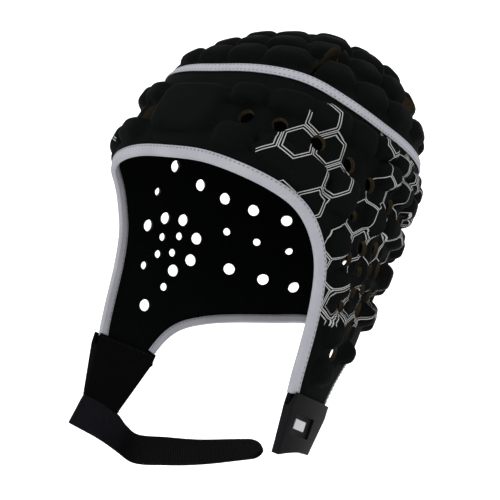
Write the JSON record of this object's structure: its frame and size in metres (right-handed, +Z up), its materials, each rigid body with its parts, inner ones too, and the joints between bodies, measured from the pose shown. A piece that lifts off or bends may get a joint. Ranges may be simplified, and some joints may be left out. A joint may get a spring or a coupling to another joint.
{
  "type": "goalkeeper head guard",
  "caption": "Padded foam head guard with brick-like pads, vent holes, pale edge bindings, cheek flaps and a chin strap that closes on a tab.",
  "frame": {"origin": "where the top of the head meets the inside of the crown", "axes": "+Z up along the head, -Y the way the wearer faces, +X towards the wearer's left"},
  "size_m": [0.1866, 0.1988, 0.2875],
  "materials": {
    "cloth": "matt black stretch knit bonded to foam",
    "tape": "matt pale grey elastic tape",
    "strap": "fuzzy dark loop-pile webbing",
    "tab": "moulded dark rubbery plastic",
    "badge": "plain pale grey"
  },
  "bodies": {
    "root": {"crown_panel": "cloth", "wrap_panel": "cloth", "crown_band": "tape", "face_binding": "tape", "nape_binding": "tape", "strap_cuff": "strap", "chin_strap": "strap", "catch_tab": "tab", "tab_badge": "badge"}
  },
  "joints": []
}
